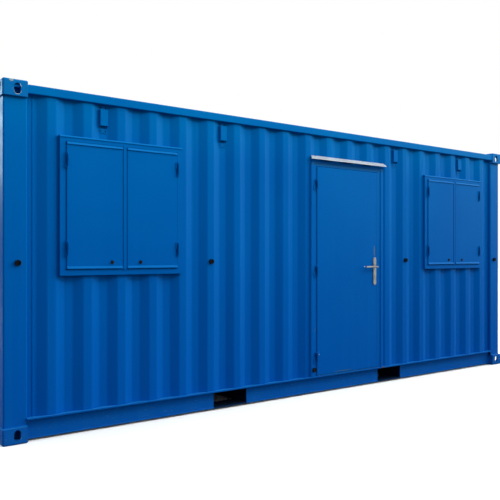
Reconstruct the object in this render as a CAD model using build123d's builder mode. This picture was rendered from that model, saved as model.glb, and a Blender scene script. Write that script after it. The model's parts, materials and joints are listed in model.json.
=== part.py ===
from build123d import *
import os
from math import ceil, floor

# A 20 ft shipping container fitted out as a site cabin. Millimetres, +Z up.
# The origin is at the middle of the four bottom corner apertures, at ground level.
# The door side faces -Y, and +X runs along it to the right.

# ---------------------------------------------------------------- driving dimensions
length = 6058
width = 2438
height = 2591
half_length = length / 2
half_width = width / 2

# corner castings
casting_length = 178
casting_width = 162
casting_height = 118
casting_wall = 16
casting_plate = 28.5
casting_round = 14
slot_length = 124.5
slot_width = 63.5
slot_from_end = 102.5
slot_from_side = 89.5
side_hole_width = 51
end_hole_width = 63.5
side_hole_height = 79.5
side_hole_level = 66
side_hole_from_end = 104

# frame
side_recess = 30
end_recess = 12
post_width = 184
post_depth = 150
post_plate = 6
post_return = 47
post_flange = 51
post_round = 12
rail_recess = 8
rail_top = 172
rail_bottom = 18
rail_lip = 10
rail_plate = 4.5
rail_depth = 57
rail_foot = 36
tube_size = 60
tube_wall = 3
tube_top = height - 28
tube_bottom = tube_top - tube_size

# fork pockets
pocket_spacing = 2076
pocket_width = 356
pocket_top = 158
pocket_plate = 6
strap_depth = 200

# floor
floor_top = 178
floor_plate = 28
beam_flange = 45
beam_web = 4

# walls
sheet = 2
side_depth = 32
pitch = 280.2
outer_flat = 67
slope = 73
pattern_shift = -4
bend = 40
end_depth = 45
end_pitch = 278
end_outer_flat = 72
end_slope = 68
lining_front = half_width - side_recess - side_depth - sheet - post_plate - 2
lining_thickness = 60
lining_inner = lining_front - lining_thickness
end_lining_outer = half_length - end_recess - end_depth - sheet - 2
end_lining_inner = end_lining_outer - lining_thickness
ceiling_bottom = 2400
ceiling_thickness = 70
roof_level = tube_top
rib_height = 20
rib_count = 26

# door
door_centre = 386
frame_half = 505
frame_top = 2253
frame_recess = 10
opening_half = 435.5
opening_top = 2204
stop_width = 12
stop_gap = 14
rebate_width = 30
rebate_depth = 6
leaf_gap = 5
latch_gap = 7
leaf_thickness = 42
door_hinge_radius = 9
door_hinge_height = 100
door_hinge_levels = (355, 1189, 2024)
lever_level = 1224
lever_x = door_centre + opening_half - 65.5
lever_length = 165
plate_level = 1179
plate_height = 284
drip_left = -137
drip_mitre = 32
drip_right = 918
stop_radius = 22
stop_length = 14

# windows and shutters
window_centre = 2090
window_bottom = 1192
window_top = 2225
surround_half = 523
surround_side = 43
surround_foot = 40
surround_head = 34
surround_recess = 5
shutter_proud = 2
shutter_depth = 22
shutter_plate = 2
shutter_gap = 5
shutter_edge = 472
shutter_axis = 474
shutter_axis_proud = 8
mullion_proud = 9
flashing_proud = 5
flashing_overhang = 4
mullion_half = 14
mullion_gap = 6.5
knob_from_centre = 122
knob_shift = 14
knob_level = 1289
knob_length = 18
knob_radius = 8
buffer_radius = 21
buffer_length = 20
buffer_dish = 13
buffer_from_centre = 826
shutter_hinge_radius = 9
shutter_hinge_height = 114
shutter_hinge_levels = (1391, 2048)

# vents
vent_gaps = (1, 5, 13, 17)
vent_width = 62
tab_width = 66
vent_proud = 32
vent_shift = -8
vent_standoff = 3
vent_low = 2321
vent_mouth = 2342
vent_high = 2467
tab_height = 33


# ---------------------------------------------------------------- helpers
def block(x_range, y_range, z_range, mode=Mode.ADD):
    """Add or cut a box between two limits on each axis."""
    centre = [sum(limits) / 2 for limits in (x_range, y_range, z_range)]
    size = [abs(limits[1] - limits[0]) for limits in (x_range, y_range, z_range)]
    with Locations(tuple(centre)):
        Box(*size, mode=mode)


def save(builder, label):
    """Label a finished piece and write it to its own file."""
    builder.part.label = label
    export_step(builder.part, f"parts/{label}.step")


def profile_points(start, end, origin, step, flat, rise, depth):
    """Outer line of a trapezoidal corrugation: (position, depth below the outer flats)."""
    corners = []
    for count in range(floor((start - origin) / step) - 1, ceil((end - origin) / step) + 1):
        left = origin + count * step
        corners += [(left - rise, depth), (left, 0), (left + flat, 0), (left + flat + rise, depth)]

    def depth_at(position):
        for (x0, d0), (x1, d1) in zip(corners, corners[1:]):
            if x0 <= position <= x1:
                return d0 + (d1 - d0) * (position - x0) / (x1 - x0)
        return depth

    inside = [point for point in corners if start < point[0] < end]
    return [(start, depth_at(start))] + inside + [(end, depth_at(end))]


def folded_sheet(outside, inside, z_range):
    """Upright sheet between two lines, with its bends rounded."""
    with BuildSketch(Plane.XY.offset(z_range[0])) as section:
        with BuildLine():
            outer = FilletPolyline(*outside, radius=bend)
            inner = FilletPolyline(*inside, radius=bend)
            Line(outer @ 1, inner @ 0)
            Line(inner @ 1, outer @ 0)
        make_face()
    extrude(section.sketch, amount=z_range[1] - z_range[0])


def side_wall(x_range, z_range, facing):
    """Corrugated long-side sheet between two positions; facing is -1 for front, 1 for back."""
    first_flat = pattern_shift - (19 * pitch + outer_flat) / 2
    outline = profile_points(*x_range, first_flat, pitch, outer_flat, slope, side_depth)
    face = half_width - side_recess
    outside = [(x, facing * (face - depth)) for x, depth in outline]
    inside = [(x, y - facing * sheet) for x, y in reversed(outside)]
    folded_sheet(outside, inside, z_range)


def end_wall(y_range, z_range, facing):
    """Corrugated end sheet; facing is -1 for the left end, 1 for the right."""
    first_flat = -(7 * end_pitch + end_outer_flat) / 2
    outline = profile_points(*y_range, first_flat, end_pitch, end_outer_flat, end_slope, end_depth)
    face = half_length - end_recess
    outside = [(facing * (face - depth), y) for y, depth in outline]
    inside = [(x - facing * sheet, y) for x, y in reversed(outside)]
    folded_sheet(outside, inside, z_range)


os.makedirs("parts", exist_ok=True)


# ---------------------------------------------------------------- corner castings
def casting(base, plate_side):
    """One hollow casting in the front left corner; plate_side is 1 when its slot faces up."""
    x0 = -half_length
    y0 = -half_width
    with BuildPart(mode=Mode.PRIVATE) as body:
        with Locations((x0, y0, base)):
            Box(casting_length, casting_width, casting_height, align=Align.MIN)
        slot_face = body.faces().sort_by(Axis.Z)[-1 if plate_side > 0 else 0]
        corner_edge = body.edges().filter_by(Axis.Z).sort_by_distance((x0, y0, base))[0]
        fillet(slot_face.edges() + [corner_edge], casting_round)
    add(body.part)
    low = base + (casting_wall if plate_side > 0 else casting_plate)
    high = base + casting_height - (casting_plate if plate_side > 0 else casting_wall)
    block(
        (x0 + casting_wall, x0 + casting_length - casting_wall),
        (y0 + casting_wall, y0 + casting_width - casting_wall),
        (low, high),
        Mode.SUBTRACT,
    )
    plate_middle = base + (casting_height if plate_side > 0 else 0)
    with BuildSketch(Plane.XY.offset(plate_middle)) as slot:
        with Locations((x0 + slot_from_end, y0 + slot_from_side)):
            SlotOverall(slot_length, slot_width)
    extrude(slot.sketch, amount=casting_plate + 2, both=True, mode=Mode.SUBTRACT)
    level = base + (casting_height - side_hole_level if plate_side > 0 else side_hole_level)
    with BuildSketch(Plane.XZ.offset(half_width)) as side_hole:
        with Locations((x0 + side_hole_from_end, level)):
            SlotOverall(side_hole_height, side_hole_width, rotation=90)
    extrude(side_hole.sketch, amount=casting_wall + 2, both=True, mode=Mode.SUBTRACT)
    with BuildSketch(Plane.YZ.offset(x0)) as end_hole:
        with Locations((y0 + slot_from_side, level)):
            SlotOverall(side_hole_height, end_hole_width, rotation=90)
    extrude(end_hole.sketch, amount=casting_wall + 2, both=True, mode=Mode.SUBTRACT)


with BuildPart() as corner_fittings_bottom:
    casting(0, -1)
    mirror(about=Plane.YZ)
    mirror(about=Plane.XZ)
save(corner_fittings_bottom, "corner_fittings_bottom")

with BuildPart() as corner_fittings_top:
    casting(height - casting_height, 1)
    mirror(about=Plane.YZ)
    mirror(about=Plane.XZ)
save(corner_fittings_top, "corner_fittings_top")

# ---------------------------------------------------------------- posts and rails
rail_end = half_length - casting_length
with BuildPart() as corner_posts:
    x0 = -half_length + end_recess
    y0 = -half_width + side_recess
    x1 = -half_length + post_width
    y1 = -half_width + post_depth
    flange_y = y0 + side_depth + sheet
    with BuildSketch(Plane.XY.offset(casting_height)):
        with BuildLine():
            Polyline(
                (x1, y0),
                (x0, y0),
                (x0, y1),
                (x0 + post_return, y1),
                (x0 + post_return, y1 - post_plate),
                (x0 + post_plate, y1 - post_plate),
                (x0 + post_plate, y0 + post_plate),
                (x1 - post_plate, y0 + post_plate),
                (x1 - post_plate, flange_y + post_plate),
                (x1 + post_flange, flange_y + post_plate),
                (x1 + post_flange, flange_y),
                (x1, flange_y),
                close=True,
            )
        make_face()
    extrude(amount=tube_bottom - casting_height)
    upright_edges = corner_posts.edges().filter_by(Axis.Z)
    outer_edge = upright_edges.sort_by_distance((x0, y0, height / 2))[0]
    inner_edge = upright_edges.sort_by_distance((x1, y0, height / 2))[0]
    fillet([outer_edge, inner_edge], post_round)
    block((-rail_end, x1 + post_flange + 1), (y0 - 1, y1 + 1), (0, rail_top), Mode.SUBTRACT)
    block((x0 - 1, -rail_end), (y0 - 1, y1 + 1), (height - casting_height, height), Mode.SUBTRACT)
    mirror(about=Plane.YZ)
    mirror(about=Plane.XZ)
save(corner_posts, "corner_posts")

with BuildPart() as bottom_side_rails:
    face = -half_width + rail_recess
    back = face + rail_depth
    with BuildSketch(Plane.YZ.offset(-rail_end)):
        with BuildLine():
            Polyline(
                (face, rail_top),
                (back, rail_top),
                (back, rail_bottom),
                (face + rail_foot, rail_bottom),
                (face + rail_foot, rail_bottom + rail_plate),
                (back - rail_plate, rail_bottom + rail_plate),
                (back - rail_plate, rail_top - rail_lip),
                (face, rail_top - rail_lip),
                close=True,
            )
        make_face()
    extrude(amount=2 * rail_end)
    for side in (-1, 1):
        middle = side * pocket_spacing / 2
        block(
            (middle - pocket_width / 2, middle + pocket_width / 2),
            (face - 1, back + 1),
            (0, pocket_top),
            Mode.SUBTRACT,
        )
    mirror(about=Plane.XZ)
save(bottom_side_rails, "bottom_side_rails")

with BuildPart() as bottom_end_rails:
    face = -half_length + rail_recess
    back = face + rail_depth
    inner_end = half_width - casting_width
    with BuildSketch(Plane.XZ.offset(-inner_end)):
        with BuildLine():
            Polyline(
                (face, rail_top),
                (back, rail_top),
                (back, rail_bottom),
                (face + rail_foot, rail_bottom),
                (face + rail_foot, rail_bottom + rail_plate),
                (back - rail_plate, rail_bottom + rail_plate),
                (back - rail_plate, rail_top - rail_lip),
                (face, rail_top - rail_lip),
                close=True,
            )
        make_face()
    extrude(amount=2 * inner_end)
    mirror(about=Plane.YZ)
save(bottom_end_rails, "bottom_end_rails")

tube_face = half_width - rail_recess
with BuildPart() as top_side_rails:
    with BuildSketch(Plane.YZ.offset(-rail_end)):
        with Locations((-tube_face + tube_size / 2, tube_top - tube_size / 2)):
            RectangleRounded(tube_size, tube_size, 6)
            RectangleRounded(tube_size - 2 * tube_wall, tube_size - 2 * tube_wall, 3, mode=Mode.SUBTRACT)
    extrude(amount=2 * rail_end)
    mirror(about=Plane.XZ)
save(top_side_rails, "top_side_rails")

end_tube_face = half_length - rail_recess
with BuildPart() as top_end_rails:
    with BuildSketch(Plane.XZ.offset(-inner_end)):
        with Locations((-end_tube_face + tube_size / 2, tube_top - tube_size / 2)):
            RectangleRounded(tube_size, tube_size, 6)
            RectangleRounded(tube_size - 2 * tube_wall, tube_size - 2 * tube_wall, 3, mode=Mode.SUBTRACT)
    extrude(amount=2 * inner_end)
    mirror(about=Plane.YZ)
save(top_end_rails, "top_end_rails")

# ---------------------------------------------------------------- base
web_inner = half_width - rail_recess - rail_depth
end_web_inner = half_length - rail_recess - rail_depth
beam_top = floor_top - floor_plate

with BuildPart() as fork_pockets:
    for side in (-1, 1):
        middle = side * pocket_spacing / 2
        outer = pocket_width / 2 + pocket_plate
        block(
            (middle - outer, middle + outer),
            (-web_inner, web_inner),
            (rail_bottom, beam_top),
        )
        block(
            (middle - pocket_width / 2, middle + pocket_width / 2),
            (-web_inner - 1, web_inner + 1),
            (rail_bottom - 1, beam_top - pocket_plate),
            Mode.SUBTRACT,
        )
        for end in (-1, 1):
            strap_outer = half_width - rail_recess - rail_foot
            block(
                (middle - pocket_width / 2, middle + pocket_width / 2),
                sorted((end * strap_outer, end * (strap_outer - strap_depth))),
                (rail_bottom, rail_bottom + pocket_plate),
            )
save(fork_pockets, "fork_pockets")

bay_limit = pocket_spacing / 2 - pocket_width / 2 - pocket_plate
outer_bay = pocket_spacing / 2 + pocket_width / 2 + pocket_plate
beam_places = [bay_limit * (2 * n - 5) / 6 for n in range(6)]
outer_bay_length = end_web_inner - outer_bay
for n in range(5):
    place = outer_bay + outer_bay_length * (n + 0.5) / 5
    beam_places += [-place, place]

with BuildPart() as floor_crossmembers:
    with BuildSketch(Plane.XZ.offset(-web_inner)):
        for place in beam_places:
            with Locations((place, (rail_bottom + beam_top) / 2)):
                Rectangle(beam_flange, beam_top - rail_bottom)
            with Locations((place + beam_web, (rail_bottom + beam_top) / 2)):
                Rectangle(beam_flange, beam_top - rail_bottom - 2 * beam_web, mode=Mode.SUBTRACT)
    extrude(amount=2 * web_inner)
save(floor_crossmembers, "floor_crossmembers")

with BuildPart() as floor_boards:
    block((-end_web_inner, end_web_inner), (-lining_front, lining_front), (beam_top, floor_top))
save(floor_boards, "floor")

# ---------------------------------------------------------------- walls
wall_end = half_length - post_width - post_flange + 5
door_left = door_centre - frame_half
door_right = door_centre + frame_half
wall_z = (rail_top, tube_bottom)


def casting_notch():
    """Cut an end sheet's top corners away round the top castings."""
    for side in (-1, 1):
        block(
            (-half_length, half_length),
            sorted((side * half_width, side * (half_width - casting_width))),
            (height - casting_height, height),
            Mode.SUBTRACT,
        )


def window_hole(centre):
    """Cut a window's hole through the front."""
    block(
        (centre - surround_half, centre + surround_half),
        (-half_width - 1, -lining_inner + 1),
        (window_bottom, window_top),
        Mode.SUBTRACT,
    )


with BuildPart() as front_wall_left:
    side_wall((-wall_end, door_left), wall_z, -1)
    window_hole(-window_centre)
save(front_wall_left, "front_wall_left")

with BuildPart() as front_wall_over_door:
    side_wall((door_left, door_right), (frame_top, tube_bottom), -1)
save(front_wall_over_door, "front_wall_over_door")

with BuildPart() as front_wall_right:
    side_wall((door_right, wall_end), wall_z, -1)
    window_hole(window_centre)
save(front_wall_right, "front_wall_right")

with BuildPart() as back_wall:
    side_wall((-wall_end, wall_end), wall_z, 1)
save(back_wall, "back_wall")

end_limit = half_width - post_depth
with BuildPart() as left_end_wall:
    end_wall((-end_limit, end_limit), wall_z, -1)
    casting_notch()
save(left_end_wall, "left_end_wall")

with BuildPart() as right_end_wall:
    end_wall((-end_limit, end_limit), wall_z, 1)
    casting_notch()
save(right_end_wall, "right_end_wall")

# ---------------------------------------------------------------- roof
with BuildPart() as roof:
    roof_x = half_length - casting_length
    roof_y = half_width - casting_width
    block((-roof_x, roof_x), (-tube_face + 8, tube_face - 8), (roof_level, roof_level + sheet))
    block((-end_tube_face + 8, end_tube_face - 8), (-roof_y, roof_y), (roof_level, roof_level + sheet))
    rib_pitch = 2 * (end_tube_face - 90) / rib_count
    for n in range(rib_count):
        place = (n + 0.5 - rib_count / 2) * rib_pitch
        with BuildSketch(Plane.XY.offset(roof_level + sheet)):
            with Locations((place, 0)):
                Rectangle(rib_pitch * 0.62, 2 * (roof_y - 25))
        extrude(amount=rib_height, taper=45)
    for n in range(rib_count):
        place = (n + 0.5 - rib_count / 2) * rib_pitch
        with BuildSketch(Plane.XY.offset(roof_level)):
            with Locations((place, 0)):
                Rectangle(rib_pitch * 0.62 - 2, 2 * (roof_y - 25) - 2)
        extrude(amount=rib_height, taper=45, mode=Mode.SUBTRACT)
save(roof, "roof")

# ---------------------------------------------------------------- lining
lining_y = (-lining_front, -lining_inner)
lining_z = (floor_top, ceiling_bottom)
with BuildPart() as front_lining_left:
    block((-end_lining_inner, door_left), lining_y, lining_z)
    window_hole(-window_centre)
save(front_lining_left, "front_lining_left")

with BuildPart() as front_lining_over_door:
    block((door_left, door_right), lining_y, (frame_top, ceiling_bottom))
save(front_lining_over_door, "front_lining_over_door")

with BuildPart() as front_lining_right:
    block((door_right, end_lining_inner), lining_y, lining_z)
    window_hole(window_centre)
save(front_lining_right, "front_lining_right")

with BuildPart() as back_lining:
    block((-end_lining_inner, end_lining_inner), (lining_inner, lining_front), lining_z)
save(back_lining, "back_lining")

with BuildPart() as end_linings:
    for side in (-1, 1):
        block(
            sorted((side * end_lining_inner, side * end_lining_outer)),
            (-lining_front, lining_front),
            lining_z,
        )
save(end_linings, "end_linings")

with BuildPart() as ceiling:
    block(
        (-end_lining_outer, end_lining_outer),
        (-lining_front, lining_front),
        (ceiling_bottom, ceiling_bottom + ceiling_thickness),
    )
save(ceiling, "ceiling")

# ---------------------------------------------------------------- door frame
frame_face = -half_width + frame_recess
leaf_front = frame_face
leaf_back = leaf_front + leaf_thickness
stop_front = leaf_back + stop_gap
hinge_y = -half_width
hinge_x = door_centre - opening_half - 9.5

with BuildPart() as door_frame:
    block((door_left, door_right), (frame_face, -lining_inner), (rail_top, frame_top))
    block(
        (door_centre - opening_half, door_centre + opening_half),
        (frame_face - 1, stop_front),
        (rail_top - 1, opening_top),
        Mode.SUBTRACT,
    )
    block(
        (door_centre - opening_half - rebate_width, door_centre + opening_half + rebate_width),
        (frame_face - 1, frame_face + rebate_depth),
        (rail_top - 1, opening_top + rebate_width),
        Mode.SUBTRACT,
    )
    block(
        (door_centre - opening_half + stop_width, door_centre + opening_half - stop_width),
        (stop_front - 1, -lining_inner + 1),
        (rail_top - 1, opening_top - stop_width),
        Mode.SUBTRACT,
    )
    block(
        (door_left - 1, door_right + 1),
        (-web_inner, -lining_inner + 1),
        (rail_top - 1, floor_top),
        Mode.SUBTRACT,
    )
save(door_frame, "door_frame")

with BuildPart() as door_threshold:
    block(
        (door_centre - opening_half, door_centre + opening_half),
        (-half_width + rail_recess, -lining_front),
        (rail_top, floor_top),
    )
save(door_threshold, "door_threshold")

with BuildPart() as rain_drip:
    wall_face = -half_width + side_recess
    lip_y = -half_width - 12
    with BuildSketch(Plane.YZ.offset(drip_left)):
        with BuildLine():
            Polyline(
                (wall_face, 2304),
                (wall_face, 2302),
                (lip_y + 2, 2275),
                (lip_y + 2, 2268),
                (lip_y, 2268),
                (lip_y, 2276),
                (wall_face, 2306),
                close=True,
            )
        make_face()
    extrude(amount=drip_right - drip_left)
    with BuildSketch(Plane.XY.offset(2250)):
        with BuildLine():
            Polyline(
                (drip_left - 1, wall_face + 1),
                (drip_left + drip_mitre, wall_face + 1),
                (drip_left, lip_y - 1),
                (drip_left - 1, lip_y - 1),
                close=True,
            )
        make_face()
    extrude(amount=70, mode=Mode.SUBTRACT)
save(rain_drip, "rain_drip")

with BuildPart() as door_stop:
    stop_x = door_left + 33
    with BuildSketch(Plane.XZ.offset(-frame_face - rebate_depth)):
        with Locations((stop_x, 240)):
            Circle(stop_radius)
    extrude(amount=stop_length + rebate_depth)
    with BuildSketch(Plane.XZ.offset(-frame_face + stop_length)):
        with Locations((stop_x, 240)):
            Circle(7)
    extrude(amount=-8, mode=Mode.SUBTRACT)
    block(
        (stop_x - stop_radius - 1, door_centre - opening_half - rebate_width),
        (frame_face, frame_face + rebate_depth + 1),
        (240 - stop_radius - 1, 240 + stop_radius + 1),
        Mode.SUBTRACT,
    )
save(door_stop, "door_stop")


# ---------------------------------------------------------------- lift-off hinges
def barrel(x, y, low, high, radius, mode=Mode.ADD):
    """Add or cut one upright cylinder."""
    with Locations((x, y, low)):
        Cylinder(radius, high - low, align=(Align.CENTER, Align.CENTER, Align.MIN), mode=mode)


def fixed_hinge_half(x, y, level, radius, total, plate_x, plate_y):
    """Lower barrel with its pin, and the plate that carries it."""
    barrel(x, y, level - total / 2, level - 1, radius)
    barrel(x, y, level - 1, level + total / 2 - 12, radius * 0.5)
    block(plate_x, plate_y, (level - total / 2, level - 1))


def moving_hinge_half(x, y, level, radius, total, plate_x, plate_y):
    """Upper barrel, bored for the pin, and the plate that carries it."""
    block(plate_x, plate_y, (level + 1, level + total / 2))
    barrel(x, y, level + 1, level + total / 2, radius)
    barrel(x, y, level, level + total / 2 - 10, radius * 0.5 + 0.5, Mode.SUBTRACT)


with BuildPart() as door_hinge_pins:
    for level in door_hinge_levels:
        fixed_hinge_half(
            hinge_x,
            hinge_y,
            level,
            door_hinge_radius,
            door_hinge_height,
            (hinge_x - 36, hinge_x),
            (frame_face - 4, frame_face),
        )
save(door_hinge_pins, "door_hinge_pins")

# ---------------------------------------------------------------- door
leaf_x = (door_centre - opening_half + leaf_gap, door_centre + opening_half - latch_gap)
leaf_z = (floor_top + leaf_gap, opening_top - leaf_gap)
with BuildPart() as door_leaf:
    block(leaf_x, (leaf_front, leaf_back), leaf_z)
    for level in door_hinge_levels:
        moving_hinge_half(
            hinge_x,
            hinge_y,
            level,
            door_hinge_radius,
            door_hinge_height,
            (hinge_x, leaf_x[0] + 30),
            (leaf_front - 4, leaf_front),
        )
    with Locations((lever_x, (leaf_front + leaf_back) / 2, lever_level)):
        Cylinder(9, leaf_thickness + 2, rotation=(90, 0, 0), mode=Mode.SUBTRACT)
save(door_leaf, "door_leaf")

with BuildPart() as door_plates:
    for plane in (Plane.XZ.offset(-leaf_front), Plane.XZ.offset(-leaf_back - 8)):
        with BuildSketch(plane):
            with Locations((lever_x, plate_level)):
                SlotOverall(plate_height, 40, rotation=90)
            with Locations((lever_x, lever_level)):
                Circle(9, mode=Mode.SUBTRACT)
        extrude(amount=8)
save(door_plates, "door_plates")

with BuildPart() as door_lever:
    with Locations((lever_x, (leaf_front + leaf_back) / 2, lever_level)):
        Cylinder(6, leaf_thickness + 20, rotation=(90, 0, 0))
    for side, start in ((-1, leaf_front - 9), (1, leaf_back + 9)):
        with Locations((lever_x, start + side * 21, lever_level)):
            Cylinder(9, 42, rotation=(90, 0, 0))
        with Locations((lever_x - lever_length / 2 + 9, start + side * 33, lever_level)):
            Cylinder(9, lever_length, rotation=(0, 90, 0))
save(door_lever, "door_lever")

# ---------------------------------------------------------------- windows
surround_front = -half_width + surround_recess
inner_half = surround_half - surround_side
inner_bottom = window_bottom + surround_foot
inner_top = window_top - surround_head


def window_ring(centre, half, bottom, top, y_range, mode=Mode.ADD):
    """Box over a window's full size or opening, between two depths."""
    block((centre - half, centre + half), y_range, (bottom, top), mode)


def flashing(centre):
    """Sloped drip over a window."""
    reach = surround_half + flashing_overhang
    with BuildSketch(Plane.YZ.offset(centre - reach)) as section:
        with BuildLine():
            Polyline(
                (surround_front, window_top + 6),
                (surround_front - flashing_proud, window_top - 2),
                (surround_front - flashing_proud, window_top - 7),
                (surround_front, window_top - 7),
                close=True,
            )
        make_face()
    extrude(section.sketch, amount=2 * reach)
    block(
        (centre - reach, centre + reach),
        (surround_front, surround_front + 25),
        (window_top, window_top + 6),
    )


with BuildPart() as window_surrounds:
    for centre in (-window_centre, window_centre):
        window_ring(centre, surround_half, window_bottom, window_top, (surround_front, -lining_inner))
        window_ring(
            centre,
            inner_half,
            inner_bottom,
            inner_top,
            (surround_front - 1, -lining_inner + 1),
            Mode.SUBTRACT,
        )
        block(
            (centre - mullion_half, centre + mullion_half),
            (surround_front - mullion_proud, surround_front + 26),
            (inner_bottom, inner_top),
        )
        flashing(centre)
save(window_surrounds, "window_surrounds")

frame_front = -half_width + 60
with BuildPart() as window_frames:
    for centre in (-window_centre, window_centre):
        window_ring(centre, inner_half, inner_bottom, inner_top, (frame_front, -lining_inner))
        for side in (-1, 1):
            pane = centre + side * inner_half / 2
            block(
                (pane - inner_half / 2 + 56, pane + inner_half / 2 - 56),
                (frame_front - 1, -lining_inner + 1),
                (inner_bottom + 56, inner_top - 56),
                Mode.SUBTRACT,
            )
save(window_frames, "window_frames")

with BuildPart() as window_glass:
    for centre in (-window_centre, window_centre):
        for side in (-1, 1):
            pane = centre + side * inner_half / 2
            block(
                (pane - inner_half / 2 + 56, pane + inner_half / 2 - 56),
                (frame_front + 14, frame_front + 38),
                (inner_bottom + 56, inner_top - 56),
            )
save(window_glass, "window_glass")

# ---------------------------------------------------------------- shutters
shutter_axis_y = -half_width - shutter_axis_proud
shutter_front = -half_width - shutter_proud
shutter_back = shutter_front + shutter_depth
shutter_z = (inner_bottom + shutter_gap, inner_top - shutter_gap)
hinge_places = [
    (centre + side * shutter_axis, side) for centre in (-window_centre, window_centre) for side in (-1, 1)
]

with BuildPart() as shutter_hinge_pins:
    for axis_x, side in hinge_places:
        for level in shutter_hinge_levels:
            fixed_hinge_half(
                axis_x,
                shutter_axis_y,
                level,
                shutter_hinge_radius,
                shutter_hinge_height,
                sorted((axis_x, axis_x + side * 16)),
                (surround_front - 8, surround_front),
            )
save(shutter_hinge_pins, "shutter_hinge_pins")


def rib(x_range, top):
    """Folded rib across a shutter: a slope facing up and out over a square lower edge."""
    with BuildSketch(Plane.YZ.offset(x_range[0])) as section:
        with BuildLine():
            Polyline(
                (shutter_front, top),
                (shutter_front - 9, top - 18),
                (shutter_front, top - 20),
                close=True,
            )
        make_face()
    extrude(section.sketch, amount=x_range[1] - x_range[0])


def shutter(centre, side):
    """Folded steel leaf, with a rib at head and foot and its hinge halves on the outer edge."""
    edges_x = sorted((centre + side * (mullion_half + mullion_gap), centre + side * shutter_edge))
    block(edges_x, (shutter_front, shutter_back), shutter_z)
    block(
        (edges_x[0] + shutter_plate, edges_x[1] - shutter_plate),
        (shutter_front + shutter_plate, shutter_back + 1),
        (shutter_z[0] + shutter_plate, shutter_z[1] - shutter_plate),
        Mode.SUBTRACT,
    )
    rib(edges_x, shutter_z[1])
    rib(edges_x, shutter_z[0] + 24)
    axis_x = centre + side * shutter_axis
    for level in shutter_hinge_levels:
        foot = level - shutter_hinge_height / 2
        block(
            sorted((centre + side * (shutter_edge - 14), centre + side * shutter_edge)),
            (shutter_front, shutter_front + 14),
            (foot - 8, level + 8),
        )
        block(
            sorted((centre + side * (shutter_axis - 10), centre + side * (shutter_edge + 1))),
            (shutter_front - 1, shutter_front + 7),
            (foot - 3, level + 1),
            Mode.SUBTRACT,
        )
        moving_hinge_half(
            axis_x,
            shutter_axis_y,
            level,
            shutter_hinge_radius,
            shutter_hinge_height,
            sorted((axis_x - side * 2, axis_x - side * 18)),
            (shutter_front - 6, shutter_front),
        )


def knob(centre, side):
    """Short round stud with a domed tip, near the leaf's free edge."""
    place = centre + side * knob_from_centre + knob_shift
    with Locations((place, shutter_front - knob_length / 2, knob_level)):
        Cylinder(knob_radius, knob_length, rotation=(90, 0, 0))


with BuildPart() as left_window_left_shutter:
    shutter(-window_centre, -1)
save(left_window_left_shutter, "left_window_left_shutter")

with BuildPart() as left_window_right_shutter:
    shutter(-window_centre, 1)
save(left_window_right_shutter, "left_window_right_shutter")

with BuildPart() as right_window_left_shutter:
    shutter(window_centre, -1)
save(right_window_left_shutter, "right_window_left_shutter")

with BuildPart() as right_window_right_shutter:
    shutter(window_centre, 1)
save(right_window_right_shutter, "right_window_right_shutter")

with BuildPart() as left_window_left_knob:
    knob(-window_centre, -1)
    fillet(left_window_left_knob.edges().group_by(Axis.Y)[0], 6)
save(left_window_left_knob, "left_window_left_knob")

with BuildPart() as left_window_right_knob:
    knob(-window_centre, 1)
    fillet(left_window_right_knob.edges().group_by(Axis.Y)[0], 6)
save(left_window_right_knob, "left_window_right_knob")

with BuildPart() as right_window_left_knob:
    knob(window_centre, -1)
    fillet(right_window_left_knob.edges().group_by(Axis.Y)[0], 6)
save(right_window_left_knob, "right_window_left_knob")

with BuildPart() as right_window_right_knob:
    knob(window_centre, 1)
    fillet(right_window_right_knob.edges().group_by(Axis.Y)[0], 6)
save(right_window_right_knob, "right_window_right_knob")

# Each leaf folded back stands just clear of a rubber buffer on the wall.
buffer_back = half_width - side_recess
with BuildPart() as shutter_buffers:
    for centre in (-window_centre, window_centre):
        for side in (-1, 1):
            place = centre + side * buffer_from_centre
            with BuildSketch(Plane.XZ.offset(buffer_back)):
                with Locations((place, knob_level)):
                    Circle(buffer_radius)
            extrude(amount=buffer_length)
            with BuildSketch(Plane.XZ.offset(buffer_back + buffer_length)):
                with Locations((place, knob_level)):
                    Circle(buffer_dish)
            extrude(amount=-5, mode=Mode.SUBTRACT)
save(shutter_buffers, "shutter_buffers")

# ---------------------------------------------------------------- vents
gap_face = -half_width + side_recess + side_depth
vent_back = gap_face - vent_standoff


def cheek(place):
    """One side of a vent hood, longer against the wall than at the front."""
    front = gap_face - vent_proud
    with BuildSketch(Plane.YZ.offset(place)) as section:
        with BuildLine():
            Polyline(
                (vent_back, vent_high),
                (front, vent_high),
                (front, vent_mouth),
                (vent_back, vent_low),
                close=True,
            )
        make_face()
    extrude(section.sketch, amount=2)


with BuildPart() as wall_vents:
    for gap in vent_gaps:
        middle = (gap - 9) * pitch + vent_shift
        side_x = (middle - vent_width / 2, middle + vent_width / 2)
        tab_x = (middle - tab_width / 2, middle + tab_width / 2)
        block(side_x, (gap_face - vent_proud, gap_face - vent_proud + 2), (vent_mouth, vent_high))
        block(side_x, (gap_face - vent_proud, vent_back), (vent_high - 2, vent_high))
        cheek(side_x[0])
        cheek(side_x[1] - 2)
        for tab_z in ((vent_high - 2, vent_high + tab_height), (vent_low - tab_height, vent_low + 2)):
            block(tab_x, (vent_back - 2, vent_back), tab_z)
            block((middle - 18, middle + 18), (vent_back, gap_face), tab_z)
save(wall_vents, "wall_vents")
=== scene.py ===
import json
import math
import random

import bmesh
import bpy
from mathutils import Matrix, Vector


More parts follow.
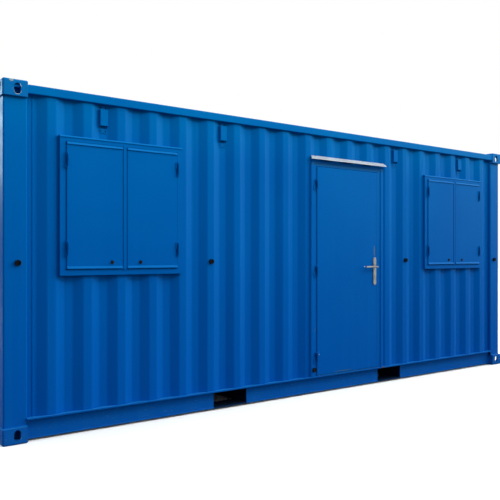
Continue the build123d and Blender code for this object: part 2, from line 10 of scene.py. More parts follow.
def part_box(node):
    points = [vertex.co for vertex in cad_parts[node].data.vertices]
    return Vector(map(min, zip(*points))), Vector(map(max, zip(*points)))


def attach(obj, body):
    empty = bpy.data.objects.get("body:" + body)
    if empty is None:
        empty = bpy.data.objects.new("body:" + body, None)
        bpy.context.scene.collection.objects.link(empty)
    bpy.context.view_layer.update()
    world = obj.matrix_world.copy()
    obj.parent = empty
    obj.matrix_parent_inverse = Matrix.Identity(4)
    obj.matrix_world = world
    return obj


# Shipping container cabin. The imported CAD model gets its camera, its paint and other materials,
# the small welded and screwed trim, a floor, a world and two lamps. All lengths are in metres.
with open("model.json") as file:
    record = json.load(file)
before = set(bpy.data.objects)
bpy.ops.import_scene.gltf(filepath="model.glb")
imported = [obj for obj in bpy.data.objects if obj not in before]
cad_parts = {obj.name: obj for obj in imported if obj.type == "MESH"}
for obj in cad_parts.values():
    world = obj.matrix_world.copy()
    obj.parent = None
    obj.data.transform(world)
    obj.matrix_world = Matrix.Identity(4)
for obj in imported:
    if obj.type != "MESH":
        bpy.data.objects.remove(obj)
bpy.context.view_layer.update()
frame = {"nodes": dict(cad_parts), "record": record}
random.seed(20)


# ---------------------------------------------------------------- camera
def make_camera():
    """The photo's viewpoint, from a fit of the ISO container's box to the photo."""
    data = bpy.data.cameras.new("camera")
    data.sensor_fit = "HORIZONTAL"
    data.sensor_width = 36.0
    data.lens = 48.58
    data.shift_y = 0.00996
    data.clip_end = 200.0
    camera = bpy.data.objects.new("camera", data)
    camera.location = (-4.4857, -6.0207, 1.3449)
    camera.rotation_euler = (math.radians(90), 0, math.radians(-37.01))
    bpy.context.scene.collection.objects.link(camera)
    bpy.context.scene.camera = camera


make_camera()


# ---------------------------------------------------------------- node graphs
class Nodes:
    """A node tree being built; every helper returns an output socket."""

    def __init__(self, tree):
        self.tree = tree
        tree.nodes.clear()

    def add(self, kind, **settings):
        node = self.tree.nodes.new(kind)
        for key, value in settings.items():
            setattr(node, key, value)
        return node

    def put(self, socket, value):
        """Link a socket to another, or give it a plain value."""
        if isinstance(value, bpy.types.NodeSocket):
            self.tree.links.new(value, socket)
        else:
            socket.default_value = value

    def math(self, operation, *values, clamp=False):
        node = self.add("ShaderNodeMath", operation=operation, use_clamp=clamp)
        for socket, value in zip(node.inputs, values):
            self.put(socket, value)
        return node.outputs[0]

    def vector(self, operation, *values, output=0):
        node = self.add("ShaderNodeVectorMath", operation=operation)
        for socket, value in zip(node.inputs, values):
            self.put(socket, value)
        return node.outputs[output]

    def part(self, vector, axis):
        """One component of a vector."""
        node = self.add("ShaderNodeSeparateXYZ")
        self.put(node.inputs[0], vector)
        return node.outputs[axis]

    def seen_ray(self):
        """1 on camera, mirror and glass rays, 0 on the rays that light other surfaces."""
        path = self.add("ShaderNodeLightPath")
        first = self.math("MAXIMUM", path.outputs["Is Camera Ray"], path.outputs["Is Glossy Ray"])
        return self.math("MAXIMUM", first, path.outputs["Is Transmission Ray"])


class Graph(Nodes):
    """A surface material on object coordinates."""

    def __init__(self, name):
        self.material = bpy.data.materials.new(name)
        self.material.use_nodes = True
        super().__init__(self.material.node_tree)
        self.shader = self.add("ShaderNodeBsdfPrincipled")
        output = self.add("ShaderNodeOutputMaterial")
        self.tree.links.new(self.shader.outputs[0], output.inputs["Surface"])
        self.place = self.add("ShaderNodeTexCoord").outputs["Object"]
        self.normal = self.add("ShaderNodeNewGeometry").outputs["Normal"]

    def noise(self, scale, detail, stretch=(1, 1, 1), shift=(0, 0, 0)):
        where = self.vector("MULTIPLY_ADD", self.place, stretch, shift)
        node = self.add("ShaderNodeTexNoise")
        self.put(node.inputs["Vector"], where)
        node.inputs["Scale"].default_value = scale
        node.inputs["Detail"].default_value = detail
        return node.outputs[0]

    def ramp(self, value, low, high, low_out=0.0, high_out=1.0):
        """Smooth step from low_out at low to high_out at high."""
        node = self.add("ShaderNodeMapRange", interpolation_type="SMOOTHSTEP")
        for socket, number in zip(node.inputs, (value, low, high, low_out, high_out)):
            self.put(socket, number)
        return node.outputs[0]

    def mix(self, factor, first, second):
        node = self.add("ShaderNodeMix", data_type="RGBA")
        sockets = (node.inputs[0], node.inputs[6], node.inputs[7])
        for socket, value in zip(sockets, (factor, first, second)):
            if isinstance(value, tuple) and len(value) == 3:
                value = (*value, 1.0)
            self.put(socket, value)
        return node.outputs[2]

    def tinted(self, colour, mask, amount, tint):
        """The colour with an amount of the tint over it where the mask is."""
        return self.mix(self.math("MULTIPLY", mask, amount), colour, tint)

    def bump(self, height, distance, strength, before=None):
        node = self.add("ShaderNodeBump")
        node.inputs["Strength"].default_value = strength
        node.inputs["Distance"].default_value = distance
        self.put(node.inputs["Height"], height)
        if before is not None:
            self.put(node.inputs["Normal"], before)
        return node.outputs[0]

    def finish(self, **inputs):
        """Fill the shader's inputs, whose names are written in lower case with underscores."""
        for key, value in inputs.items():
            name = key.replace("_", " ").title().replace("Ior", "IOR")
            self.put(self.shader.inputs[name], value)
        return self.material


# ---------------------------------------------------------------- paint
# Painted shading: BLUE_LOW to BLUE_TOP make the enamel paler with height, as light from above
# would.
BLUE_LOW = (0.0, 0.074, 0.366)
BLUE_HIGH = (0.0, 0.121, 0.402)
BLUE_TOP = (0.0, 0.148, 0.432)
BLUE_DEEP = (0.0, 0.079, 0.342)
# Painted highlight for faces turned up.
PAINTED_TOP_LIGHT = (0.01, 0.200, 0.500)
STREAK = (0.004, 0.13, 0.45)
SPECKLE = (0.0, 0.06, 0.27)
RUN = (0.02, 0.16, 0.36)
GRIME = (0.03, 0.14, 0.28)
SCRATCH = (0.25, 0.36, 0.46)
# Underseal black, which also paints the shade inside the fork pockets and under the floor.
UNDERSEAL_AND_SHADE = (0.004, 0.006, 0.012)
PAINT_GLOSS = 0.01
PAINT_GLOSS_TINT = (0.02, 0.45, 1.0, 1.0)
MARK_ROUGHNESS = 0.7
SEAL_ROUGHNESS = 0.9


def spot(graph, centre, size):
    """Mask of a ragged mark: 1 inside, 0 outside; size is its half extent on each axis."""
    offset = graph.vector("SUBTRACT", graph.place, centre)
    reach = graph.vector("LENGTH", graph.vector("DIVIDE", offset, size), output=1)
    ragged = graph.math("MULTIPLY_ADD", graph.noise(160.0, 2.0), 0.55, reach)
    return graph.ramp(ragged, 1.02, 1.27, 1.0, 0.0)


def blue_paint(name, marks=(), dust=0.0, scuff=0.0, sealed_and_shaded_inside=False):
    """Container enamel: close blues, with painted shading that makes them paler with height and a
    painted highlight on faces turned up, with streaks and orange peel.

    marks are (centre, half extents, colour); dust and scuff are amounts of grime and scratches;
    the last argument makes the paint behind the side rails' faces black with underseal, which also
    paints the shade inside the pockets and under the floor.
    """
    g = Graph(name)
    height = g.part(g.place, 2)
    # Painted shading: paler with height, and palest near the top.
    colour = g.mix(g.ramp(height, -0.4, 2.9), BLUE_LOW, BLUE_HIGH)
    colour = g.mix(g.ramp(height, 2.1, 2.6), colour, BLUE_TOP)
    colour = g.mix(g.ramp(g.noise(0.9, 4.0), 0.40, 0.72, 0.0, 0.35), colour, BLUE_DEEP)
    streaks = g.ramp(g.noise(1.0, 3.0, stretch=(14, 14, 0.35), shift=(3, 1, 0)), 0.42, 0.68)
    colour = g.tinted(colour, streaks, 0.10, STREAK)
    speckle = g.ramp(g.noise(55.0, 4.0, shift=(0, 5, 2)), 0.56, 0.74)
    colour = g.tinted(colour, speckle, 0.12, SPECKLE)
    runs = g.ramp(g.noise(1.0, 4.0, stretch=(46, 46, 1.1), shift=(1, 4, 0)), 0.60, 0.78)
    colour = g.tinted(colour, runs, 0.10, RUN)
    # Painted highlight: faces turned up are paler, as if lit from above.
    colour = g.mix(g.ramp(g.part(g.normal, 2), 0.25, 0.6, 0.0, 0.45), colour, PAINTED_TOP_LIGHT)
    splashed = g.ramp(height, 0.02, 0.30, 1.0, 0.0)
    cloud = g.noise(9.0, 5.0, shift=(1, 0, 7))
    grime = g.math("MULTIPLY", cloud, g.math("MULTIPLY_ADD", splashed, 0.12, dust), clamp=True)
    colour = g.mix(grime, colour, GRIME)
    rough = g.ramp(g.noise(6.0, 4.0, shift=(4, 4, 4)), 0.3, 0.7, 0.30, 0.42)
    if scuff:
        scratches = g.ramp(g.noise(1.0, 5.0, stretch=(40, 40, 260), shift=(2, 8, 5)), 0.66, 0.72)
        worn = g.math("MULTIPLY", scratches, scuff)
        colour = g.mix(worn, colour, SCRATCH)
        rough = g.math("MAXIMUM", rough, g.math("MULTIPLY", worn, 0.6))
    for centre, size, tint in marks:
        mask = spot(g, centre, size)
        colour = g.mix(mask, colour, tint)
        rough = g.math("MAXIMUM", rough, g.math("MULTIPLY", mask, MARK_ROUGHNESS))
    # Underseal behind the rails' faces, black also as painted shade in the pockets.
    if sealed_and_shaded_inside:
        inside = g.ramp(g.math("ABSOLUTE", g.part(g.place, 1)), 1.165, 1.195, 0.96, 0.0)
        colour = g.mix(inside, colour, UNDERSEAL_AND_SHADE)
        rough = g.math("MAXIMUM", rough, g.math("MULTIPLY", inside, SEAL_ROUGHNESS))
    peel = g.bump(g.noise(330.0, 2.0), 0.0004, 0.22)
    return g.finish(
        base_color=colour,
        roughness=rough,
        specular_ior_level=PAINT_GLOSS,
        specular_tint=PAINT_GLOSS_TINT,
        normal=g.bump(g.noise(2.2, 2.0, stretch=(1, 1, 0.5)), 0.003, 0.5, peel),
    )


# Axes and levels of the hinges; the painted shade on the barrels below and the trim further down
# both use them.
DOOR_PIN = (-0.059, -1.219)
DOOR_HINGE_LEVELS = (0.355, 1.189, 2.024)
SHUTTER_PIN_Y = -1.227
SHUTTER_HINGE_LEVELS = (1.391, 2.048)
SHUTTER_PIN_LINES = (-2.564, -1.616, 1.616, 2.564)

# Colours of the marks.
# Painted shade, for the hinge barrels and under the rain drip.
PAINTED_SHADE_NAVY = (0.0, 0.036, 0.155)
RUST = (0.16, 0.055, 0.018)
BARE = (0.62, 0.66, 0.70)
BROWN = (0.11, 0.075, 0.05)
CHALK = (0.26, 0.34, 0.36)
WASHED = (0.10, 0.22, 0.42)
WASHED_DULL = (0.10, 0.20, 0.33)
STAIN = (0.10, 0.13, 0.12)
DIRT = (0.03, 0.10, 0.20)
DUSTY = (0.05, 0.14, 0.26)
# Painted highlight, on the door frame's shaded left side.
LIT_EDGE = (0.0, 0.150, 0.480)
# Painted shadow, under the rain drip.
PAINTED_SHADOW_BLUE = (0.010, 0.080, 0.220)
WORN_PALE = (0.45, 0.62, 0.78)
WORN_BLUE = (0.20, 0.40, 0.58)
WORN_WARM = (0.60, 0.58, 0.55)
WORN_FAINT = (0.06, 0.24, 0.42)

# Marks: centre, half extents, colour.
CASTING_MARKS = (
    ((-2.968, -1.215, 2.580), (0.018, 0.02, 0.012), CHALK),
    ((-2.925, -1.205, 2.586), (0.03, 0.02, 0.004), WASHED),
    ((2.899, -1.219, 0.071), (0.005, 0.01, 0.022), BARE),
    ((-3.029, -1.16, 2.55), (0.01, 0.03, 0.02), WASHED_DULL),
    ((2.93, 1.219, 0.09), (0.03, 0.01, 0.012), RUST),
    ((-2.95, 1.219, 2.55), (0.02, 0.01, 0.016), BROWN),
    ((3.029, 0.0, 0.1), (0.01, 0.02, 0.02), RUST),
)
RIM_MARKS = (
    ((-2.899, -1.219, 2.535), (0.014, 0.02, 0.052), WORN_PALE),
    ((-2.951, -1.219, 2.500), (0.008, 0.01, 0.014), WORN_BLUE),
    ((-2.930, -1.219, 2.485), (0.024, 0.01, 0.009), WORN_WARM),
    ((-2.899, -1.219, 0.052), (0.008, 0.01, 0.020), WORN_FAINT),
    ((2.899, -1.219, 0.071), (0.006, 0.01, 0.025), BARE),
)
RAIL_MARKS = (
    ((0.8945, -1.211, 0.166), (0.020, 0.012, 0.007), RUST),
    ((-0.62, 1.211, 0.166), (0.018, 0.010, 0.006), RUST),
    ((-3.021, 0.3, 0.166), (0.012, 0.02, 0.006), RUST),
)
# Painted shade: the hinge barrels darkened to navy, where their sides fall in shadow.
DOOR_HINGE_SHADE_MARKS = tuple(
    ((*DOOR_PIN, level), (0.012, 0.03, 0.060), PAINTED_SHADE_NAVY) for level in DOOR_HINGE_LEVELS
)
SHUTTER_HINGE_SHADE_MARKS = tuple(
    ((x, SHUTTER_PIN_Y, level), (0.012, 0.03, 0.066), PAINTED_SHADE_NAVY)
    for x in SHUTTER_PIN_LINES
    for level in SHUTTER_HINGE_LEVELS
)
LEAF_MARKS = (
    ((0.756, -1.209, 1.385), (0.008, 0.01, 0.060), STAIN),
    ((0.612, -1.209, 1.226), (0.010, 0.01, 0.004), BARE),
    ((-0.024, -1.209, 0.384), (0.004, 0.01, 0.006), BARE),
    ((0.30, -1.209, 0.196), (0.14, 0.01, 0.006), DIRT),
)
# Marks on the door frame: dust, a painted highlight on its shaded left side, and two bands of
# painted shadow under the rain drip.
FRAME_MARKS = (
    ((-0.07, -1.206, 0.62), (0.004, 0.02, 0.02), DUSTY),
    ((-0.122, -1.195, 1.20), (0.008, 0.06, 1.6), LIT_EDGE),
    ((0.39, -1.209, 2.226), (0.75, 0.02, 0.022), PAINTED_SHADOW_BLUE),
    ((0.39, -1.209, 2.250), (0.75, 0.02, 0.018), PAINTED_SHADE_NAVY),
)


# ---------------------------------------------------------------- other materials
def plain(name, light, dark, rough, scale, metallic=0.0, grain=(1, 1, 1), **extra):
    """Two-tone surface with blotches, fine grain, faint stains and a slight texture."""
    g = Graph(name)
    blotch = g.ramp(g.noise(scale, 4.0), 0.35, 0.68)
    colour = g.mix(blotch, dark, light)
    stain = g.ramp(g.noise(scale * 0.35, 5.0, shift=(6, 2, 9)), 0.52, 0.75, 0.0, 0.35)
    colour = g.mix(stain, colour, tuple(channel * 0.82 for channel in dark))
    fine = g.noise(scale * 30, 3.0, stretch=grain, shift=(2, 3, 1))
    roughness = g.ramp(fine, 0.3, 0.7, rough * 0.8, rough * 1.2)
    return g.finish(
        base_color=colour,
        roughness=roughness,
        metallic=metallic,
        normal=g.bump(fine, 0.0003, 0.35),
        **extra,
    )


# Slot: light colour, dark colour, roughness, noise scale of the blotches, and other settings.
PLAIN = {
    "white_board": ((0.80, 0.80, 0.77), (0.74, 0.74, 0.71), 0.6, 3.0, {}),
    "floor_ply": ((0.30, 0.18, 0.10), (0.20, 0.12, 0.07), 0.5, 5.0, {"grain": (0.2, 1, 1)}),
    "bare_aluminium": (
        (0.52, 0.56, 0.60), (0.40, 0.44, 0.49), 0.5, 9.0,
        {"metallic": 0.3, "grain": (0.02, 1, 1)},
    ),
    "black_rubber": (
        (0.006, 0.007, 0.009), (0.003, 0.0035, 0.005), 0.7, 20.0, {"specular_ior_level": 0.05}
    ),
    "black_knob": (
        (0.006, 0.007, 0.010), (0.003, 0.0035, 0.005), 0.3, 20.0, {"specular_ior_level": 0.12}
    ),
    "white_plastic": ((0.82, 0.82, 0.81), (0.76, 0.76, 0.75), 0.35, 4.0, {}),
    "clear_glass": (
        (0.75, 0.82, 0.82), (0.72, 0.80, 0.80), 0.05, 4.0, {"transmission_weight": 0.9}
    ),
    "brushed_steel": (
        (0.28, 0.28, 0.27), (0.19, 0.19, 0.185), 0.35, 12.0,
        {"metallic": 0.7, "grain": (1, 1, 0.03)},
    ),
}
MATERIALS = {"blue_paint": blue_paint("blue_paint")}
for slot_name, (light, dark, rough, scale, settings) in PLAIN.items():
    MATERIALS[slot_name] = plain(slot_name, light, dark, rough, scale, **settings)

# Nodes whose paint has marks, painted shade or dirt of its own: name of the paint, marks, dust,
# scuff, and whether it is sealed inside, with underseal that also paints the shade there.
SPECIAL_PAINT = {
    "corner_fittings_bottom": ("paint_on_castings_low", CASTING_MARKS, 0.10, 0.35, False),
    "corner_fittings_top": ("paint_on_castings_high", CASTING_MARKS, 0.22, 0.35, False),
    "bottom_side_rails": ("paint_on_rails", RAIL_MARKS, 0.04, 0.30, False),
    "bottom_end_rails": ("paint_on_end_rails", RAIL_MARKS, 0.04, 0.25, False),
    "door_leaf": ("paint_on_leaf", LEAF_MARKS + DOOR_HINGE_SHADE_MARKS, 0.0, 0.10, False),
    "door_hinge_pins": ("paint_on_door_hinges", DOOR_HINGE_SHADE_MARKS, 0.0, 0.0, False),
    "door_frame": ("paint_on_frame", FRAME_MARKS, 0.0, 0.12, False),
    "door_threshold": ("paint_on_threshold", (), 0.45, 0.9, False),
    "roof": ("paint_on_roof", (), 0.35, 0.15, False),
    "floor_crossmembers": ("paint_under_floor", (), 0.45, 0.1, True),
    "fork_pockets": ("paint_on_pockets", (), 0.10, 0.30, True),
}
PAINTED = {node_name: blue_paint(*settings) for node_name, settings in SPECIAL_PAINT.items()}
RIM_PAINT = blue_paint("paint_on_rims", RIM_MARKS, dust=0.2)
SHUTTER_PAINT = blue_paint("paint_on_shutters", SHUTTER_HINGE_SHADE_MARKS)
for node_name in frame["nodes"]:
    if node_name.endswith("_shutter") or node_name == "shutter_hinge_pins":
        PAINTED[node_name] = SHUTTER_PAINT


def round_edges(piece, width, min_angle=None):
    """Bevel the edges that turn by more than an angle, 30 degrees where none is given."""
    rounding = piece.modifiers.new("rounding", "BEVEL")
    rounding.width = width
    rounding.segments = 2
    if min_angle is not None:
        rounding.limit_method = "ANGLE"
        rounding.angle_limit = min_angle


round_edges(frame["nodes"]["door_frame"], 0.005, math.radians(50))
slots = {row["node"]: row["material_slot"] for row in frame["record"]["subparts"]}
for node_name, node in frame["nodes"].items():
    node.data.materials.clear()
    node.data.materials.append(PAINTED.get(node_name, MATERIALS[slots[node_name]]))


# ---------------------------------------------------------------- building the small pieces
def make_piece(name, body, slot_name, build, bevel=0.0, material=None):
    """One mesh object, built by a function, that rides on a body."""
    mesh = bpy.data.meshes.new(name)
    bm = bmesh.new()
    build(bm)
    bmesh.ops.recalc_face_normals(bm, faces=bm.faces)
    bm.to_mesh(mesh)
    bm.free()
    piece = bpy.data.objects.new(name, mesh)
    bpy.context.scene.collection.objects.link(piece)
    if bevel:
        round_edges(piece, bevel)
    mesh.materials.append(material or MATERIALS[slot_name])
    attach(piece, body)


def slab(bm, low, high):
    """Box between two corners."""
    middle = (Vector(low) + Vector(high)) / 2
    size = Vector(high) - Vector(low)
    placed = Matrix.Translation(middle) @ Matrix.Diagonal((*size, 1.0))
    bmesh.ops.create_cube(bm, size=1.0, matrix=placed)


def ring_of_slabs(bm, x_range, z_range, y_range, thick):
    """Four strips just inside a rectangle facing along Y."""
    (x0, x1), (z0, z1), (y0, y1) = x_range, z_range, y_range
    slab(bm, (x0, y0, z0), (x0 + thick, y1, z1))
    slab(bm, (x1 - thick, y0, z0), (x1, y1, z1))
    slab(bm, (x0 + thick, y0, z0), (x1 - thick, y1, z0 + thick))
    slab(bm, (x0 + thick, y0, z1 - thick), (x1 - thick, y1, z1))


def loft(bm, rings, smooth):
    """Closed tube through rings of points that all have the same number of points."""
    rings = [[bm.verts.new(point) for point in ring] for ring in rings]
    bm.faces.new(rings[0])
    bm.faces.new(rings[-1])
    count = len(rings[0])
    for lower, upper in zip(rings, rings[1:]):
        for n in range(count):
            after = (n + 1) % count
            face = bm.faces.new((lower[n], lower[after], upper[after], upper[n]))
            face.smooth = smooth


def turned(bm, centre, axis, profile, sides=24):
    """Closed solid of revolution; profile is (radius, height along the axis) from foot to tip."""
    turn = Vector((0, 0, 1)).rotation_difference(Vector(axis)).to_matrix()
    rings = []
    for radius, rise in profile:
        ring = []
        for n in range(sides):
            angle = 2 * math.pi * n / sides
            local = Vector((radius * math.cos(angle), radius * math.sin(angle), rise))
            ring.append(Vector(centre) + turn @ local)
        rings.append(ring)
    loft(bm, rings, sides > 8)


def bead(bm, path, radius, step=0.006):
    """Weld bead along a line of points, with the ripples that each pass leaves."""
    sides = 6
    for start, end in zip(path, path[1:]):
        start = Vector(start)
        run = Vector(end) - start
        steps = max(2, round(run.length / step))
        along = run.normalized()
        across = along.orthogonal().normalized()
        other = along.cross(across)
        rings = []
        for n in range(steps + 1):
            size = radius * (0.86 + 0.18 * (n % 2) + random.uniform(-0.08, 0.08))
            centre = start + run * (n / steps)
            ring = []
            for corner in range(sides):
                angle = math.pi * corner / 3
                ring.append(centre + (across * math.cos(angle) + other * math.sin(angle)) * size)
            rings.append(ring)
        loft(bm, rings, True)


# ---------------------------------------------------------------- places on the part
HALF_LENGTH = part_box("corner_fittings_bottom")[1][0]
HALF_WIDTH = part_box("corner_fittings_bottom")[1][1]
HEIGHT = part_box("corner_fittings_top")[1][2]
RAIL_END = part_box("bottom_side_rails")[1][0]
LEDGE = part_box("bottom_side_rails")[1][2]
TUBE_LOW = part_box("top_side_rails")[0][2]
WALL_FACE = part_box("corner_posts")[1][1]
END_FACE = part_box("corner_posts")[1][0]

CASTING_HEIGHT = 0.118
RAIL_FACE = 1.211       # outer face of the bottom and top side rails
RAIL_WEB = 1.159        # set-back web of the bottom side rails
POST_WELD_END = 1.072   # where the weld across a corner post's end face stops
TUBE_SIZE = 0.060
WAVE_DEPTH = 0.032
WAVE_PITCH = 0.2802

LEAF_FRONT = -HALF_WIDTH + 0.010
LEAF_BACK = LEAF_FRONT + 0.042
LEVER_X = 0.756
LEVER_LEVEL = 1.224
PLATE_LEVEL = 1.179
PLATE_THICK = 0.008

WINDOWS = (-2.090, 2.090)
SHUTTER_PIN_OFFSET = 0.474
FIELD_HALF = 0.480      # half the width of the opening that both shutters close
FIELD_LOW = 1.232
FIELD_HIGH = 2.191
CORNERS = [(sx, sy) for sx in (-1, 1) for sy in (-1, 1)]


# ---------------------------------------------------------------- welds
def frame_beads(bm):
    """Beads where posts and rails meet the castings."""
    fine, coarse = 0.003, 0.0035
    for sx, sy in CORNERS:
        for z in (CASTING_HEIGHT + 0.0015, HEIGHT - CASTING_HEIGHT - 0.0015):
            y = sy * WALL_FACE
            bead(bm, [(sx * (RAIL_END - 0.006), y, z), (sx * (END_FACE - 0.01), y, z)], coarse)
            x = sx * END_FACE
            bead(bm, [(x, sy * (WALL_FACE - 0.01), z), (x, sy * POST_WELD_END, z)], coarse)
        x = sx * RAIL_END
        web, face, tube = sy * RAIL_WEB, sy * RAIL_FACE, TUBE_LOW + TUBE_SIZE
        bead(bm, [(x, web, 0.024), (x, web, LEDGE - 0.012)], coarse)
        bead(bm, [(x, face, LEDGE - 0.008), (x, face, LEDGE), (x, sy * 1.185, LEDGE)], fine)
        bead(bm, [(x, face, TUBE_LOW + 0.004), (x, face, tube - 0.004)], coarse)
        bead(bm, [(x, sy * 1.205, tube), (x, sy * 1.155, tube)], coarse)


def upright_bead(bm, x, y, top, radius, step):
    """Bead from the ledge of the bottom rail up."""
    bead(bm, [(x, y, LEDGE), (x, y, top)], radius, step)


def wall_beads(bm):
    """Upright seams of the wall sheets, and the welds beside the door frame."""
    hollow = WALL_FACE - WAVE_DEPTH
    seam_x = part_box("back_wall")[1][0]
    for sx, sy in CORNERS:
        upright_bead(bm, sx * seam_x, sy * hollow, TUBE_LOW, 0.0028, 0.009)
    for x in (-1.4045, 1.3975):
        upright_bead(bm, x, -hollow, TUBE_LOW, 0.0016, 0.010)
    for x in (-1.965, -0.8445, 0.2765, 1.3975):
        upright_bead(bm, x, hollow, TUBE_LOW, 0.0016, 0.010)
    door_low, door_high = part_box("door_frame")
    for x, y in ((door_low[0], -WALL_FACE), (door_high[0], -1.1665)):
        upright_bead(bm, x, y, door_high[2], 0.003, 0.009)


def roof_beads(bm):
    """Seams between the roof sheets and along the top rails."""
    top = TUBE_LOW + 0.0625
    for y in (-1.203, 1.203):
        bead(bm, [(-RAIL_END + 0.01, y, top), (RAIL_END - 0.01, y, top)], 0.0025, 0.012)
    for x in (-2.013, -0.8955, 0.2236, 1.3422):
        bead(bm, [(x, -1.19, top), (x, 1.19, top)], 0.0022, 0.012)


def hole_rims(bm):
    """Rounded, worn lips of the front side apertures."""
    radius, half_straight, points = 0.0262, 0.0142, 32
    for sx in (-1, 1):
        for level in (0.066, HEIGHT - 0.066):
            path = []
            for n in range(points + 1):
                angle = 2 * math.pi * n / points
                x = sx * (HALF_LENGTH - 0.104) + radius * math.cos(angle)
                z = level + radius * math.sin(angle) + math.copysign(half_straight, math.sin(angle))
                path.append((x, -HALF_WIDTH + 0.0012, z))
            bead(bm, path, 0.0022, 0.004)


make_piece("frame_weld_beads", "cabin", "blue_paint", frame_beads)
make_piece("wall_weld_beads", "cabin", "blue_paint", wall_beads)
make_piece("roof_weld_beads", "cabin", "blue_paint", roof_beads)
make_piece("aperture_rims", "cabin", "blue_paint", hole_rims, material=RIM_PAINT)


# ---------------------------------------------------------------- strips and seals
def shutter_stop_strips(bm):
    """Folded stops behind the gap round each pair of shutters."""
    for centre in WINDOWS:
        x_range = (centre - FIELD_HALF, centre + FIELD_HALF)
        ring_of_slabs(bm, x_range, (FIELD_LOW, FIELD_HIGH), (-1.192, -1.184), 0.012)
        slab(bm, (centre - 0.024, -1.194, FIELD_LOW), (centre + 0.024, -1.1895, FIELD_HIGH))


def shutter_gap_strips(bm):
    """Folded strips that narrow the gaps round the closed shutters."""
    front, back = -1.2165, -1.204
    middle_edge, side_edge, thick = 0.0175, 0.476, 0.002
    for centre in WINDOWS:
        for side in (-1, 1):
            for inner, outer in ((0.014, middle_edge), (side_edge, FIELD_HALF)):
                x0, x1 = sorted((centre + side * inner, centre + side * outer))
                slab(bm, (x0, front, FIELD_LOW + thick), (x1, back, FIELD_HIGH - thick))
            x0, x1 = sorted((centre + side * middle_edge, centre + side * side_edge))
            slab(bm, (x0, front, FIELD_LOW), (x1, back, FIELD_LOW + thick))
            slab(bm, (x0, front, FIELD_HIGH - thick), (x1, back, FIELD_HIGH))


def pane_seals(bm):
    """Rubber glazing beads on both faces of the panes."""
    half = 0.184
    for centre in WINDOWS:
        for side in (-1, 1):
            pane = centre + side * 0.240
            for y in (-1.150, -1.118):
                x_range = (pane - half, pane + half)
                ring_of_slabs(bm, x_range, (1.288, 2.135), (y, y + 0.005), 0.007)


def door_seal_strip(bm):
    """Rubber seal on the stop that the closed leaf faces."""
    front, back, low, head, top = -1.163, -1.153, 0.183, 2.190, 2.199
    slab(bm, (-0.0485, front, low), (-0.0395, back, top))
    slab(bm, (0.8115, front, low), (0.8205, back, top))
    slab(bm, (-0.0395, front, head), (0.8115, back, top))


def leaf_folds(bm):
    """Folded edges of the leaf's skin, standing a millimetre proud."""
    proud = 0.0010
    for y0, y1 in ((LEAF_FRONT - proud, LEAF_FRONT), (LEAF_BACK, LEAF_BACK + proud)):
        slab(bm, (0.7865, y0, 0.1835), (0.8140, y1, 2.1985))


make_piece("shutter_stops", "cabin", "blue_paint", shutter_stop_strips, 0.001)
make_piece("shutter_gap_strips", "cabin", "blue_paint", shutter_gap_strips, 0.0005)
make_piece("window_seals", "cabin", "black_rubber", pane_seals, 0.0015)
make_piece("door_seal", "cabin", "black_rubber", door_seal_strip, 0.002)
make_piece("leaf_folds", "door", "blue_paint", leaf_folds, 0.0004)

# ---------------------------------------------------------------- lock and lever
SCREW = ((0.0048, 0), (0.0048, 0.0010), (0.0030, 0.0022))
CYLINDER = ((0.0098, 0), (0.0098, 0.0030), (0.0085, 0.0042), (0.0030, 0.0045))
LEVER_ROSE = ((0.0150, 0), (0.0150, 0.0008), (0.0135, 0.0009))
LEVER_CAP = ((0.009, 0), (0.0086, 0.0022), (0.0066, 0.0050), (0.0035, 0.0066))
KEY_LEVEL = 1.134


def lock_parts(bm):
    """Screws, key cylinder and lever rose on both plates of the lock."""
    for y, out in ((LEAF_FRONT - PLATE_THICK, -1), (LEAF_BACK + PLATE_THICK, 1)):
        for z in (PLATE_LEVEL - 0.126, PLATE_LEVEL + 0.126):
            turned(bm, (LEVER_X, y, z), (0, out, 0), SCREW)
            slot_y = y + out * 0.0018
            low = (LEVER_X - 0.0035, slot_y - 0.0006, z - 0.0005)
            slab(bm, low, (LEVER_X + 0.0035, slot_y + 0.0006, z + 0.0005))
        turned(bm, (LEVER_X, y, KEY_LEVEL), (0, out, 0), CYLINDER)
        foot = (LEVER_X - 0.0042, y - 0.001, KEY_LEVEL - 0.026)
        slab(bm, foot, (LEVER_X + 0.0042, y + out * 0.0035, KEY_LEVEL))
        turned(bm, (LEVER_X, y, LEVER_LEVEL), (0, out, 0), LEVER_ROSE)


def keyholes(bm):
    """Dark key slots in the lock cylinders."""
    for y in (LEAF_FRONT - 0.0126, LEAF_BACK + 0.0126):
        low = (LEVER_X - 0.0009, y - 0.0003, KEY_LEVEL - 0.0045)
        slab(bm, low, (LEVER_X + 0.0009, y + 0.0003, KEY_LEVEL + 0.0045))


def lever_ends(bm):
    """Domed caps on the levers' ends."""
    for y in (LEAF_FRONT - 0.042, LEAF_BACK + 0.042):
        turned(bm, (LEVER_X - 0.156, y, LEVER_LEVEL), (-1, 0, 0), LEVER_CAP)
        turned(bm, (LEVER_X + 0.009, y, LEVER_LEVEL), (1, 0, 0), LEVER_CAP)


make_piece("lock_screws_and_cylinder", "door", "brushed_steel", lock_parts)
make_piece("keyholes", "door", "black_rubber", keyholes)
make_piece("lever_caps", "lever", "brushed_steel", lever_ends)

# ---------------------------------------------------------------- hinges and knobs
DOOR_DOME = ((0.009, 0), (0.0085, 0.0015), (0.0055, 0.0035), (0.002, 0.0042))
SHUTTER_DOME = ((0.009, 0), (0.0085, 0.0015), (0.0055, 0.0032), (0.002, 0.0038))
COLLAR = ((0.0150, 0), (0.0150, 0.0020), (0.0135, 0.0044), (0.0080, 0.0050))


